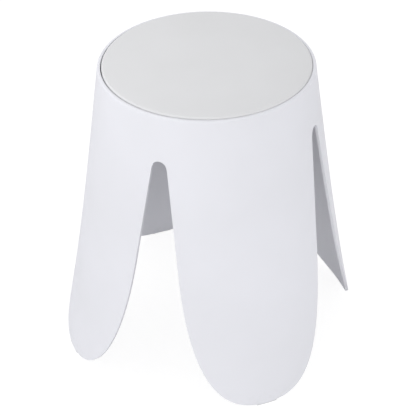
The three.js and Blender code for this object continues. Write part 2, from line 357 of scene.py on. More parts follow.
def rounded(corners: Sequence[Corner], closed: bool, step: float = 12.0) -> list[Flat]:
    """Round off the corners of an outline.

    Args:
        corners: (x, y, fillet radius) of each corner in order.
        closed: whether the last corner leads back to the first.
        step: the most degrees that one piece of a fillet turns.

    Returns:
        The outline's points with each fillet as an arc.
    """
    points: list[Flat] = []
    count = len(corners)
    for i, (x, y, radius) in enumerate(corners):
        here = Vector((x, y))
        at_end = not closed and i in (0, count - 1)
        if radius <= 0 or at_end:
            points.append((x, y))
            continue
        back = (Vector(corners[i - 1][:2]) - here).normalized()
        ahead = (Vector(corners[(i + 1) % count][:2]) - here).normalized()
        between = back.angle(ahead)
        turn = math.pi - between
        reach = radius / math.tan(between / 2)
        centre = here + (back + ahead).normalized() * (radius / math.sin(between / 2))
        steps = max(2, round(math.degrees(turn) / step))
        start = here + back * reach - centre
        side = 1 if back.x * ahead.y - back.y * ahead.x < 0 else -1
        for k in range(steps + 1):
            spoke = Matrix.Rotation(side * turn * k / steps, 2) @ start
            points.append((centre.x + spoke.x, centre.y + spoke.y))
    return points


def fractions(count: int, edge: float) -> list[float]:
    """Spread numbers from 0 to 1 evenly, with one short interval at each end.

    Args:
        count: how many intervals, the two short ones among them.
        edge: the length of a short interval.

    Returns:
        The numbers, from 0 to 1.
    """
    middle = [edge + (1 - 2 * edge) * i / (count - 2) for i in range(count - 1)]
    return [0.0, *middle, 1.0]


class MeshDraft:
    """A mesh being put together from sheets of quads, lathe work and prisms."""

    def __init__(self) -> None:
        """Start with nothing."""
        self.bm = bmesh.new()

    def sheet(self, rows: Sequence[Sequence[Vector]], close_rows: bool = False) -> None:
        """Add a grid of quads.

        Args:
            rows: the grid's points, row by row, each row as long as the next.
            close_rows: whether each row leads back to its own start.
        """
        grid = [[self.bm.verts.new(point) for point in row] for row in rows]
        width = len(grid[0])
        for low, high in zip(grid, grid[1:]):
            for i in range(width if close_rows else width - 1):
                j = (i + 1) % width
                corners = [low[i], low[j], high[j], high[i]]
                widths = [(a.co - b.co).length for a, b in (corners[:2], corners[2:])]
                if sum(widths) > WELD:
                    self.bm.faces.new(corners)

    def turned(
        self,
        profile: Sequence[Flat],
        segments: int,
        centre: tuple[float, float] = (0.0, 0.0),
        closed: bool = True,
    ) -> None:
        """Turn a profile of (radius, z) points round an upright axis.

        Args:
            profile: the points; a radius of 0 lies on the axis.
            segments: how many steps make the full turn.
            centre: where the axis stands.
            closed: whether the last point leads back to the first.
        """
        rows = []
        loop = [*profile, profile[0]] if closed else list(profile)
        for radius, z in loop:
            row = []
            for i in range(segments):
                angle = 2 * math.pi * i / segments
                x = centre[0] + radius * math.cos(angle)
                y = centre[1] + radius * math.sin(angle)
                row.append(Vector((x, y, z)))
            rows.append(row)
        self.sheet(rows, close_rows=True)

    def prism(
        self,
        outline: Sequence[Flat],
        low: float,
        high: float,
        place: Callable[[Vector], Vector],
    ) -> None:
        """Add a prism with flat ends.

        Args:
            outline: its section's points in order.
            low: where it starts along the third direction.
            high: where it ends.
            place: turns a point of the prism's own frame into the object's.
        """
        ends = [
            [self.bm.verts.new(place(Vector((x, y, depth)))) for x, y in outline]
            for depth in (low, high)
        ]
        self.bm.faces.new(ends[0])
        self.bm.faces.new(ends[1])
        count = len(outline)
        for i in range(count):
            j = (i + 1) % count
            self.bm.faces.new([ends[0][i], ends[0][j], ends[1][j], ends[1][i]])

    def finish(self, name: str) -> Piece:
        """Weld, turn the faces outwards and make the object.

        Args:
            name: the object's name.

        Returns:
            The object, in the scene, shaded smooth.
        """
        bmesh.ops.remove_doubles(self.bm, verts=self.bm.verts, dist=WELD)
        bmesh.ops.dissolve_degenerate(self.bm, edges=self.bm.edges, dist=WELD / 4)
        bmesh.ops.recalc_face_normals(self.bm, faces=self.bm.faces)
        mesh = bpy.data.meshes.new(name)
        self.bm.to_mesh(mesh)
        self.bm.free()
        mesh.shade_smooth()
        piece = bpy.data.objects.new(name, mesh)
        bpy.context.scene.collection.objects.link(piece)
        return piece


def lathed(
    name: str,
    corners: Sequence[Corner],
    closed: bool,
    segments: int,
    step: float,
    circle: float = 0.0,
) -> Piece:
    """Turn a part from the corners of its section.

    Args:
        name: the object's name.
        corners: (radius, z, fillet) of the section.
        closed: whether the section is a loop off the axis.
        segments: how many steps make the full turn.
        step: the most degrees that one piece of a fillet turns.
        circle: how far out the part's own axis stands, at angle 0.

    Returns:
        The object.
    """
    draft = MeshDraft()
    profile = rounded(corners, closed=closed, step=step)
    draft.turned(profile, segments, centre=(circle, 0.0), closed=closed)
    return draft.finish(name)


def frozen(piece: Piece) -> Piece:
    """Turn what the modifiers make into the piece's own plain mesh, and remove them."""
    graph = bpy.context.evaluated_depsgraph_get()
    mesh = bpy.data.meshes.new_from_object(piece.evaluated_get(graph), depsgraph=graph)
    mesh.name = piece.name
    piece.modifiers.clear()
    piece.data = mesh
    return piece


def bevelled(piece: Piece, width: float, segments: int = 3) -> Piece:
    """Round the sharp edges of a piece.

    Args:
        piece: the piece.
        width: how far the rounding reaches from each edge.
        segments: how many steps round it.

    Returns:
        The same piece, with the rounding in its mesh.
    """
    bevel = piece.modifiers.new("round_edges", "BEVEL")
    bevel.width = width
    bevel.segments = segments
    bevel.limit_method = "ANGLE"
    bevel.angle_limit = math.radians(35)
    bevel.harden_normals = False
    return frozen(piece)


def cut_out(piece: Piece, cutter: Piece) -> Piece:
    """Take one piece's volume out of another, and remove the cutter."""
    modifier = piece.modifiers.new("cut", "BOOLEAN")
    modifier.operation = "DIFFERENCE"
    modifier.solver = "EXACT"
    modifier.object = cutter
    frozen(piece)
    bpy.data.objects.remove(cutter)
    return piece


def joined(pieces: Sequence[Piece], name: str) -> Piece:
    """Join several pieces into one object.

    Args:
        pieces: the pieces, which are used up.
        name: the new object's name.

    Returns:
        The object that holds all their meshes.
    """
    whole = bmesh.new()
    for piece in pieces:
        whole.from_mesh(piece.data)
        bpy.data.objects.remove(piece)
    mesh = bpy.data.meshes.new(name)
    whole.to_mesh(mesh)
    whole.free()
    made = bpy.data.objects.new(name, mesh)
    bpy.context.scene.collection.objects.link(made)
    return made


class RingOfCopies:
    """A Geometry Nodes tree that stands copies of a piece in a ring round the stool's axis.

    The piece that carries the modifier is the copy for angle 0, already at its place. Each copy
    is that piece turned about the axis, so a piece that fills its share of the ring closes it.
    """

    def __init__(self) -> None:
        """Build the tree once; every ring shares it."""
        self.tree = bpy.data.node_groups.new("ring_of_copies", "GeometryNodeTree")
        self.tree.is_modifier = True
        sides = self.tree.interface
        sides.new_socket("Geometry", in_out="INPUT", socket_type="NodeSocketGeometry")
        sides.new_socket("Geometry", in_out="OUTPUT", socket_type="NodeSocketGeometry")
        self.sockets = {
            name: sides.new_socket(name, in_out="INPUT", socket_type=kind).identifier
            for name, kind in (
                ("Count", "NodeSocketInt"),
                ("Start Angle", "NodeSocketFloat"),
                ("Weld Distance", "NodeSocketFloat"),
                ("Finish", "NodeSocketMaterial"),
            )
        }
        inputs = self._node("NodeGroupInput").outputs
        points = self._node("GeometryNodePoints")
        self._join(inputs["Count"], points.inputs["Count"])
        step = self._math("DIVIDE", 2 * math.pi, inputs["Count"])
        turn = self._math("MULTIPLY", self._node("GeometryNodeInputIndex").outputs[0], step)
        angle = self._math("ADD", turn, inputs["Start Angle"])
        rotation = self._node("ShaderNodeCombineXYZ")
        self._join(angle, rotation.inputs["Z"])
        copies = self._node("GeometryNodeInstanceOnPoints")
        self._join(points.outputs[0], copies.inputs["Points"])
        self._join(inputs["Geometry"], copies.inputs["Instance"])
        self._join(rotation.outputs[0], copies.inputs["Rotation"])
        real = self._node("GeometryNodeRealizeInstances")
        self._join(copies.outputs[0], real.inputs[0])
        weld = self._node("GeometryNodeMergeByDistance")
        self._join(real.outputs[0], weld.inputs["Geometry"])
        self._join(inputs["Weld Distance"], weld.inputs["Distance"])
        finish = self._node("GeometryNodeSetMaterial")
        self._join(weld.outputs[0], finish.inputs["Geometry"])
        self._join(inputs["Finish"], finish.inputs["Material"])
        self._join(finish.outputs[0], self._node("NodeGroupOutput").inputs[0])

    def _node(self, kind: str) -> bpy.types.Node:
        """Add a node."""
        return self.tree.nodes.new(kind)

    def _join(self, source: Socket, target: Socket) -> None:
        """Link two sockets."""
        self.tree.links.new(source, target)

    def _math(
        self, operation: str, one: float | Socket, other: float | Socket
    ) -> Socket:
        """Add a sum.

        Args:
            operation: what to do, in the node's own words.
            one: the first value or socket.
            other: the second value or socket.

        Returns:
            The result.
        """
        node = self._node("ShaderNodeMath")
        node.operation = operation
        for socket, value in zip(node.inputs, (one, other)):
            if isinstance(value, Socket):
                self._join(value, socket)
            else:
                socket.default_value = value
        return node.outputs[0]

    def stand(
        self,
        piece: Piece,
        count: int,
        finish: Finish,
        start: float = 0.0,
        weld: float = 0.0,
    ) -> Piece:
        """Repeat a piece round the axis and make the result its own plain mesh.

        Args:
            piece: the copy for angle 0, at its place.
            count: how many copies the ring has.
            finish: the material of all copies.
            start: the angle of the first copy.
            weld: how close two corners must be to become one.

        Returns:
            The same object, holding the whole ring.
        """
        modifier = piece.modifiers.new("ring", "NODES")
        modifier.node_group = self.tree
        modifier[self.sockets["Count"]] = count
        modifier[self.sockets["Start Angle"]] = start
        modifier[self.sockets["Weld Distance"]] = weld
        modifier[self.sockets["Finish"]] = finish
        return frozen(piece)


def wear_finish(piece: Piece, finish: Finish) -> None:
    """Give a piece one material all over."""
    piece.data.materials.clear()
    piece.data.materials.append(finish)
    for face in piece.data.polygons:
        face.material_index = 0


def place_piece(piece: Piece, body: Body, nodes: Sequence[str]) -> None:
    """Let a finished piece ride on its body and stand for its CAD nodes.

    Args:
        piece: the piece, at its place in its mesh.
        body: the body that carries it.
        nodes: the CAD nodes that it stands for.
    """
    if body is Body.SEAT:
        piece.data.transform(Matrix.Translation(SEAT_SHIFT))
    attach(piece, body.value)
    if nodes:
        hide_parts(*nodes)
    faces = len(piece.data.polygons)
    log.info("%s: %d faces on %s, for %s", piece.name, faces, body.value, list(nodes))


def numbered(stem: str) -> list[str]:
    """List the frame's nodes of one repeated piece."""
    return sorted(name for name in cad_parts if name.startswith(stem))


# ---------------------------------------------------------------------------------------------
# Shell
# ---------------------------------------------------------------------------------------------


@dataclass(frozen=True)
class WallCurve:
    """The shell's outer face: a cone whose lean grows a little towards the floor."""

    height: float
    top_radius: float = 152 * MM
    foot_radius: float = 225.4 * MM
    top_lean: float = math.radians(7.9)
    foot_lean: float = math.radians(12.15)

    def radius(self, z: float) -> float:
        """Give the outer radius at a height."""
        h = 1 - z / self.height
        top_slope = self.height * math.tan(self.top_lean)
        foot_slope = self.height * math.tan(self.foot_lean)
        from_top = (2 * h**3 - 3 * h**2 + 1) * self.top_radius + (h**3 - 2 * h**2 + h) * top_slope
        from_foot = (3 * h**2 - 2 * h**3) * self.foot_radius + (h**3 - h**2) * foot_slope
        return from_top + from_foot

    def lean(self, z: float) -> float:
        """Give the angle between the wall and the upright at a height."""
        step = 0.5 * MM
        return math.atan((self.radius(z - step) - self.radius(z + step)) / (2 * step))

    def point(self, angle: float, z: float, depth: float = 0.0) -> Vector:
        """Give a point of the wall.

        Args:
            angle: its direction from the axis.
            z: the height of the outer face's point that it is behind.
            depth: how far it is inside the outer face, square to it.

        Returns:
            The point.
        """
        lean = self.lean(z)
        radius = self.radius(z) - depth * math.cos(lean)
        return Vector((radius * math.cos(angle), radius * math.sin(angle), z - depth * math.sin(lean)))

    def outwards(self, angle: float, z: float) -> Vector:
        """Give the outer face's normal."""
        lean = self.lean(z)
        flat = math.cos(lean)
        return Vector((flat * math.cos(angle), flat * math.sin(angle), math.sin(lean)))


@dataclass(frozen=True)
class EdgePoint:
    """A point where the flat of the wall ends and the rounding of a leg's edge starts.

    The angle is from the leg's centre, and aside points square off the edge, along the wall.
    """

    angle: float
    z: float
    aside: Vector


@dataclass(frozen=True)
class LegOutline:
    """The outline of a petal leg, from the top of the slot beside it round to its tip."""

    wall: WallCurve
    legs: int = 4
    slot_top: float = 385 * MM
    slot_round: float = 11.2 * MM
    slot_lean: float = math.radians(7.95)
    straight_end: float = 220 * MM
    edge_pull: float = 210 * MM
    tip_pull: float = 49.3 * MM
    tip_height: float = 1.4 * MM

    def _slot_width(self, z: float) -> float:
        """Give half the width of the slot's straight part, measured round the wall."""
        start_width = self.slot_round * math.cos(self.slot_lean)
        start_z = self.slot_top - self.slot_round + self.slot_round * math.sin(self.slot_lean)
        return start_width + (start_z - z) * math.tan(self.slot_lean)

    def _curve(self) -> list[Vector]:
        """Give the four pull points of the curve to the tip, as (half the leg's width, z)."""

        def half_leg(z: float) -> float:
            """Give half the leg's width, measured round the wall."""
            return math.pi / self.legs * self.wall.radius(z) - self._slot_width(z)

        lean = (half_leg(self.straight_end) - half_leg(self.straight_end - MM)) / MM
        length = math.hypot(lean, 1)
        start = Vector((half_leg(self.straight_end), self.straight_end))
        pulled = start - Vector((lean, 1)) * (self.edge_pull / length)
        return [
            start,
            pulled + Vector((0, self.tip_height)),
            Vector((self.tip_pull, self.tip_height)),
            Vector((0, self.tip_height)),
        ]

    def half(self) -> list[Flat]:
        """Give half the outline finely, as (angle from the leg's centre, z), slot top to tip."""
        quarter = math.pi / self.legs
        points: list[Flat] = []
        arc_z = self.slot_top - self.slot_round
        round_steps = 60
        for i in range(round_steps):
            turn = QUARTER_TURN + (self.slot_lean - QUARTER_TURN) * i / round_steps
            z = arc_z + self.slot_round * math.sin(turn)
            points.append((quarter - self.slot_round * math.cos(turn) / self.wall.radius(z), z))
        straight_steps = 60
        start_z = arc_z + self.slot_round * math.sin(self.slot_lean)
        for i in range(straight_steps):
            z = start_z + (self.straight_end - start_z) * i / straight_steps
            points.append((quarter - self._slot_width(z) / self.wall.radius(z), z))
        a, b, c, d = self._curve()
        curve_steps = 160
        for i in range(curve_steps + 1):
            t = i / curve_steps
            spot = a * (1 - t) ** 3 + b * 3 * (1 - t) ** 2 * t + c * 3 * (1 - t) * t**2 + d * t**3
            points.append((spot.x / self.wall.radius(spot.y), spot.y))
        return points

    def inset(self, gap: float) -> list[EdgePoint]:
        """Give half the outline moved into the leg.

        Args:
            gap: how far it moves, along the wall.

        Returns:
            The moved points, slot top to tip.
        """
        outline = self.half()
        spots = [self.wall.point(angle, z) for angle, z in outline]
        moved = []
        for i, (angle, z) in enumerate(outline):
            if i == 0 or i == len(outline) - 1:
                along = Vector((math.sin(angle), -math.cos(angle), 0.0))
            else:
                along = (spots[i + 1] - spots[i - 1]).normalized()
            aside = self.wall.outwards(angle, z).cross(along).normalized()
            spot = spots[i] - aside * gap
            moved.append(EdgePoint(math.atan2(spot.y, spot.x), spot.z, aside))
        return moved

    def tip_edge(self, width: float) -> float:
        """Give the height of the leg's lower edge at a distance from the tip, round the wall."""
        a, b, c, d = self._curve()
        low, high = 0.5, 1.0
        for _ in range(40):
            t = (low + high) / 2
            across = a.x * (1 - t) ** 3 + b.x * 3 * (1 - t) ** 2 * t + c.x * 3 * (1 - t) * t**2
            if across > abs(width):
                low = t
            else:
                high = t
        spot = a * (1 - t) ** 3 + b * 3 * (1 - t) ** 2 * t + c * 3 * (1 - t) * t**2 + d * t**3
        return spot.y


@dataclass
class Shell:
    """The one-piece shell: rim, seat ledge, flared wall and petal legs, with braces inside."""

    wall: WallCurve
    outline: LegOutline
    thickness: float = 4.44 * MM
    edge_round: float = 0.6 * MM
    rim_outer_round: float = 2.9 * MM
    rim_inner_round: float = 0.6 * MM
    recess_radius: float = 147.4 * MM
    ledge_top: float = 426.6 * MM
    ledge_thickness: float = 4 * MM
    ledge_bore: float = 118 * MM
    ledge_fillet: float = 3 * MM
    columns: int = 34
    leg_rows: int = 58
    band_rows: int = 9
    slot_columns: int = 6
    braces: int = 12
    brace_thickness: float = 2.6 * MM
    brace_drop: float = 22 * MM
    brace_reach: float = 20 * MM
    leg_centre: float = QUARTER_TURN / 2

    def _resampled(self, edge: Sequence[EdgePoint], shares: Sequence[float]) -> list[EdgePoint]:
        """Pick points along a stretch of edge.

        Args:
            edge: the stretch's fine points.
            shares: where the points go, as shares of the stretch's length.

        Returns:
            A point for each share.
        """
        spots = [self.wall.point(point.angle, point.z) for point in edge]
        run = [0.0]
        for one, other in zip(spots, spots[1:]):
            run.append(run[-1] + (other - one).length)
        picked = []
        k = 0
        for share in shares:
            goal = share * run[-1]
            while k < len(run) - 2 and run[k + 1] < goal:
                k += 1
            part = min(1.0, max(0.0, (goal - run[k]) / (run[k + 1] - run[k])))
            one, other = edge[k], edge[k + 1]
            picked.append(
                EdgePoint(
                    one.angle + (other.angle - one.angle) * part,
                    one.z + (other.z - one.z) * part,
                    one.aside.lerp(other.aside, part).normalized(),
                )
            )
        return picked

    def _edges(self) -> tuple[list[EdgePoint], list[EdgePoint], list[EdgePoint]]:
        """Split half the leg's edge in three.

        Returns:
            The round over the slot, from the slot's centre; the side, down to where the edge has
            turned half way to level; and the toe, from there to the tip.
        """
        edge = self.outline.inset(self.edge_round)
        half_way = math.cos(QUARTER_TURN / 2)
        shoulder = next(i for i, p in enumerate(edge) if abs(p.aside.z) < half_way)
        straight = next(i for i, p in enumerate(edge) if p.z < self.outline.straight_end)
        corner = next(i for i, p in enumerate(edge) if i > straight and abs(p.aside.z) > half_way)
        over_slot = [i / self.slot_columns for i in range(self.slot_columns + 1)]
        down_side = fractions(self.leg_rows, 0.004)
        across = fractions(self.columns, 0.006)
        half_toe = [2 * share - 1 for share in across if share >= 0.5 - 1e-9]
        return (
            self._resampled(edge[: shoulder + 1], over_slot),
            self._resampled(edge[shoulder : corner + 1], down_side),
            self._resampled(edge[corner:], [1 - share for share in reversed(half_toe)]),
        )

    def _flat(self, angle: float, z: float) -> Vector:
        """Give a point of the wall rolled out flat: distance from the leg's centre line, and z."""
        return Vector((angle * self.wall.radius(z), z))

    def _leg_grid(self, side: Sequence[EdgePoint], toe: Sequence[EdgePoint]) -> list[list[Flat]]:
        """Fill the leg with a grid whose rows run across it.

        Args:
            side: the edge from the slot's shoulder to the toe's corner.
            toe: the edge from that corner to the tip.

        Returns:
            Rows of (angle, z), the bottom row on the toe and the top row level.
        """
        across = fractions(self.columns, 0.006)
        right = [self._flat(p.angle, p.z) for p in reversed(side)]
        bottom_half = [self._flat(p.angle, p.z) for p in toe]
        bottom = [Vector((-p.x, p.y)) for p in bottom_half] + list(reversed(bottom_half))[1:]
        corner, shoulder = right[0], right[-1]
        lengths = fractions(self.leg_rows, 0.004)
        up = [1 - share for share in reversed(lengths)]
        rows = []
        for t, edge in zip(up, right):
            row = []
            for s, low in zip(across, bottom):
                high = Vector(((2 * s - 1) * shoulder.x, shoulder.y))
                level = Vector(((2 * s - 1) * edge.x, edge.y))
                base = Vector(((2 * s - 1) * corner.x, corner.y))
                spot = (1 - t) * low + t * high + level - (1 - t) * base - t * high
                row.append((spot.x / self.wall.radius(spot.y), spot.y))
            rows.append(row)
        return rows

    def _rim(self, low_outside: float, low_inside: float) -> list[Flat]:
        """Give the section over the wall: rim, recess and ledge, as (radius, z).

        Args:
            low_outside: the height on the outer face where it starts.
            low_inside: the height of the outer face behind which it ends.

        Returns:
            The section's points, from the outer face over the rim to the inner face.
        """
        ledge_bottom = self.ledge_top - self.ledge_thickness
        start = self.wall.point(0.0, low_outside)
        end = self.wall.point(0.0, low_inside, self.thickness)
        inner_lean = math.tan(self.wall.lean(low_inside))
        corner = end.x - (ledge_bottom - end.z) * inner_lean
        return rounded(
            [
                (start.x, start.z, 0.0),
                (self.wall.radius(self.wall.height), self.wall.height, self.rim_outer_round),
                (self.recess_radius, self.wall.height, self.rim_inner_round),
                (self.recess_radius, self.ledge_top, 1.2 * MM),
                (self.ledge_bore, self.ledge_top, 1.5 * MM),
                (self.ledge_bore, ledge_bottom, 1.5 * MM),
                (corner, ledge_bottom, self.ledge_fillet),
                (end.x, end.z, 0.0),
            ],
            closed=False,
        )

    def _edge_section(self) -> list[Flat]:
        """Give the rounding of a leg's edge, as (distance aside, depth), outer to inner face."""
        steps = 5
        r, t = self.edge_round, self.thickness
        turns = [QUARTER_TURN * i / steps for i in range(steps + 1)]
        outer = [(r * math.sin(turn), r * (1 - math.cos(turn))) for turn in turns]
        inner = [(r * math.cos(turn), t - r + r * math.sin(turn)) for turn in turns]
        hold = 0.15 * MM
        return [*outer, (r, r + hold), (r, t - r - hold), *inner]

    def _turned_edge(self, point: EdgePoint, sign: int, aside: float, depth: float) -> Vector:
        """Give a point on the rounding of the edge of the leg that stands at leg_centre."""
        spot = self.wall.point(point.angle, point.z, depth) + point.aside * aside
        spot = Vector((spot.x, sign * spot.y, spot.z))
        return Matrix.Rotation(self.leg_centre, 3, "Z") @ spot

    def _quarter(self) -> Piece:
        """Build the shell from one slot's centre to the next."""
        over, side, toe = self._edges()
        leg = self._leg_grid(side, toe)
        low_outside = self.wall.height - 2.2 * self.rim_outer_round
        low_inside = self.ledge_top - 3.4 * self.ledge_fillet
        draft = MeshDraft()

        def stand(angle: float, z: float, depth: float) -> Vector:
            """Give a point of the wall, turned to the leg's place."""
            return self.wall.point(self.leg_centre + angle, z, depth)

        bottom = [(p.angle, p.z) for p in over]
        bottom = [(-angle, z) for angle, z in bottom] + leg[-1][1:-1] + list(reversed(bottom))
        rises = fractions(self.band_rows, 0.02)
        for depth, top in ((0.0, low_outside), (self.thickness, low_inside)):
            draft.sheet([[stand(angle, z, depth) for angle, z in row] for row in leg])
            draft.sheet(
                [
                    [stand(angle, z + (top - z) * rise, depth) for angle, z in bottom]
                    for rise in rises
                ]
            )
        draft.sheet(
            [
                [
                    Vector((radius * math.cos(turn), radius * math.sin(turn), z))
                    for turn in (self.leg_centre + angle for angle, _ in bottom)
                ]
                for radius, z in self._rim(low_outside, low_inside)
            ]
        )
        section = self._edge_section()
        for sign in (1, -1):
            for stretch in (over, side, toe):
                draft.sheet(
                    [
                        [self._turned_edge(p, sign, aside, depth) for p in stretch]
                        for aside, depth in section
                    ]
                )
        return draft.finish("shell_moulding")

    def _brace(self) -> Piece:
        """Build the web under the ledge at angle 0."""
        top = self.ledge_top - self.ledge_thickness + 1 * MM
        middle = self.thickness / 2

        def wall_at(z: float) -> float:
            """Give the radius of the middle of the wall."""
            return self.wall.radius(z) - middle

        outline = rounded(
            [
                (wall_at(top) - middle - self.brace_reach, top, 0.0),
                (wall_at(top - 3 * MM) - middle - self.brace_reach, top - 3 * MM, 1.5 * MM),
                (wall_at(top - self.brace_drop) - 2.4 * MM, top - self.brace_drop, 1.2 * MM),
                (wall_at(top - self.brace_drop), top - self.brace_drop, 0.0),
                (wall_at(top), top, 0.0),
            ],
            closed=True,
        )
        draft = MeshDraft()
        half = self.brace_thickness / 2
        draft.prism(outline, -half, half, lambda p: Vector((p.x, p.z, p.y)))
        return bevelled(draft.finish("ledge_braces"), 0.6 * MM)

    def build(self, ring: RingOfCopies, finish: Finish) -> None:
        """Build the moulding and its braces and set them on the stool.

        Args:
            ring: the tree that repeats a quarter or a brace round the axis.
            finish: the shell's plastic.
        """
        moulding = ring.stand(self._quarter(), self.outline.legs, finish, weld=WELD)
        place_piece(moulding, Body.STOOL, ["shell"])
        braces = ring.stand(self._brace(), self.braces, finish, start=math.pi / self.braces)
        place_piece(braces, Body.STOOL, [])


@dataclass
class FootStrips:
    """The soft strips under the leg tips: flat below, curved above like the tip, with pins."""

    wall: WallCurve
    outline: LegOutline
    wall_thickness: float = 4.5 * MM
    thickness: float = 3.8 * MM
    half_length: float = 16 * MM
    gap: float = 0.25 * MM
    corner: float = 0.5 * MM
    pin_radius: float = 0.9 * MM
    pin_height: float = 6.5 * MM
    pin_places: tuple[float, ...] = (-10 * MM, 0.0, 10 * MM)
    leg_centre: float = QUARTER_TURN / 2

    def _station(self, along: float, half_width: float) -> list[Vector]:
        """Give the strip's section at a distance from the tip.

        Args:
            along: the distance, round the wall.
            half_width: half the strip's width there.

        Returns:
            The section's points.
        """
        middle = self.wall.radius(0.0) - self.wall_thickness / 2
        top = self.outline.tip_edge(along) - self.gap
        soft = min(self.corner, 0.8 * half_width)
        section = rounded(
            [
                (-half_width, 0.0, soft),
                (half_width, 0.0, soft),
                (half_width, top, soft),
                (-half_width, top, soft),
            ],
            closed=True,
            step=30,
        )
        angle = self.leg_centre + along / middle
        return [
            Vector(((middle + across) * math.cos(angle), (middle + across) * math.sin(angle), z))
            for across, z in section
        ]

    def _strip(self) -> Piece:
        """Build the strip under the first leg."""
        half = self.thickness / 2
        straight = self.half_length - half
        end_steps = 8
        ends = [
            (straight + half * math.sin(turn), half * math.cos(turn))
            for turn in (QUARTER_TURN * i / end_steps for i in range(end_steps))
        ]
        ends.append((self.half_length, 0.12 * half))
        middle_steps = 12
        body = [(straight * (2 * i / middle_steps - 1), half) for i in range(1, middle_steps)]
        stations = [(-along, width) for along, width in reversed(ends)] + body + ends
        rows = [self._station(along, width) for along, width in stations]
        draft = MeshDraft()
        draft.sheet(rows, close_rows=True)
        for row in (rows[0], rows[-1]):
            draft.bm.faces.new([draft.bm.verts.new(point) for point in row])
        strip = draft.finish("foot_strips")
        return joined([strip, *[self._pin(place) for place in self.pin_places]], "foot_strips")

    def _pin(self, place: float) -> Piece:
        """Build one of the pins that stand up in the leg's end, leaning with the wall."""
        draft = MeshDraft()
        profile = rounded(
            [
                (0.0, -0.6 * MM, 0.0),
                (self.pin_radius, -0.6 * MM, 0.0),
                (self.pin_radius, self.pin_height, 0.4 * MM),
                (0.0, self.pin_height, 0.0),
            ],
            closed=False,
        )
        draft.turned(profile, 16, closed=False)
        middle = self.wall.radius(0.0) - self.wall_thickness / 2
        turn = Matrix.Rotation(self.leg_centre + place / middle, 4, "Z")
        lean = Matrix.Rotation(-self.wall.foot_lean, 4, "Y")
        stand = Matrix.Translation((middle, 0.0, self.outline.tip_height))
        bmesh.ops.transform(draft.bm, matrix=turn @ stand @ lean, verts=draft.bm.verts)
        return draft.finish("foot_pin")

    def build(self, ring: RingOfCopies, finish: Finish) -> None:
        """Build a strip for each leg and set them on the stool.

        Args:
            ring: the tree that repeats the strip.
            finish: the soft rubber.
        """
        strips = ring.stand(self._strip(), self.outline.legs, finish)
        strips.data.shade_smooth()
        place_piece(strips, Body.STOOL, numbered("foot_strip_"))


# ---------------------------------------------------------------------------------------------
# Seat
# ---------------------------------------------------------------------------------------------


@dataclass
class SeatCover:
    """The seat's cover: a crowned skin with a soft edge, a skirt, and a boss for each screw."""

    top: float
    radius: float
    bottom: float
    crown: float = 1.2 * MM
    flat_radius: float = 70 * MM
    edge_round: float = 3.6 * MM
    skin: float = 3 * MM
    skirt: float = 2.6 * MM
    segments: int = 192

    def _top_face(self) -> list[Flat]:
        """Give the crown from the middle to where the edge's rounding starts."""
        rings = 22
        reach = self.radius - self.edge_round
        points = []
        for i in range(rings + 1):
            radius = reach * i / rings
            share = max(0.0, (radius - self.flat_radius) / (reach - self.flat_radius))
            points.append((radius, self.top - self.crown * share**3))
        return points

    def build(self, ring: RingOfCopies, finish: Finish, screws: "SeatScrews") -> None:
        """Build the cover and set it on the seat.

        Args:
            ring: the tree that repeats the bosses.
            finish: the seat's plastic.
            screws: the screws that the bosses take.
        """
        edge_top = self.top - self.crown
        underside = edge_top - self.skin
        inner = self.radius - self.skirt
        crown = self._top_face()
        slope = (crown[-2][1] - crown[-1][1]) / (crown[-1][0] - crown[-2][0])
        brow = edge_top - slope * self.edge_round
        rim = rounded(
            [
                (crown[-2][0], crown[-2][1], 0.0),
                (self.radius, brow, self.edge_round),
                (self.radius, self.bottom, 0.8 * MM),
                (inner, self.bottom, 0.8 * MM),
                (inner, underside, 1.5 * MM),
                (0.0, underside, 0.0),
            ],
            closed=False,
            step=7.5,
        )
        draft = MeshDraft()
        draft.turned([*crown[:-2], *rim], self.segments, closed=False)
        skin = draft.finish("seat_cover_moulding")
        bosses = ring.stand(screws.boss(underside + 1 * MM), screws.count, finish)
        cover = joined([skin, bosses], "seat_cover_moulding")
        wear_finish(cover, finish)
        place_piece(cover, Body.SEAT, ["seat_cover"])


